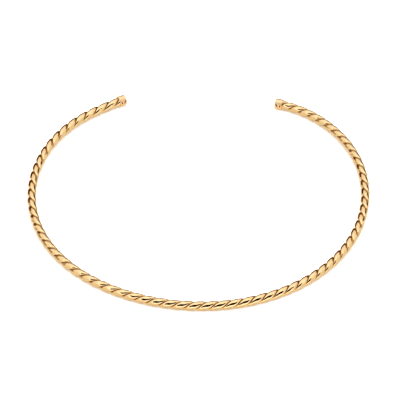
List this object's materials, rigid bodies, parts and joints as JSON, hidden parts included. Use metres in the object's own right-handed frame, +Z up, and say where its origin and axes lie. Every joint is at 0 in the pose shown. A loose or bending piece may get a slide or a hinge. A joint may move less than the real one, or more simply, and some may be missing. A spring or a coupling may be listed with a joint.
{
  "type": "torc",
  "caption": "Rigid open torc: a neck ring twisted from heavy round wire in polished yellow gold, with plain cylindrical end caps and an opening at the back.",
  "frame": {"origin": "on the plane that the torc lies on, under the middle of its bounding box", "axes": "+X to the wearer's left along the torc's width, +Y towards the open side between the caps, +Z up from the surface it lies on"},
  "size_m": [0.1266, 0.1128, 0.004],
  "materials": {
    "wire_gold": "brass wire, gold plated and mirror polished",
    "cap_gold": "turned brass, gold plated and polished"
  },
  "bodies": {
    "root": {"wire_strand_1": "wire_gold", "wire_strand_2": "wire_gold", "end_cap_left": "cap_gold", "end_cap_right": "cap_gold"}
  },
  "joints": []
}
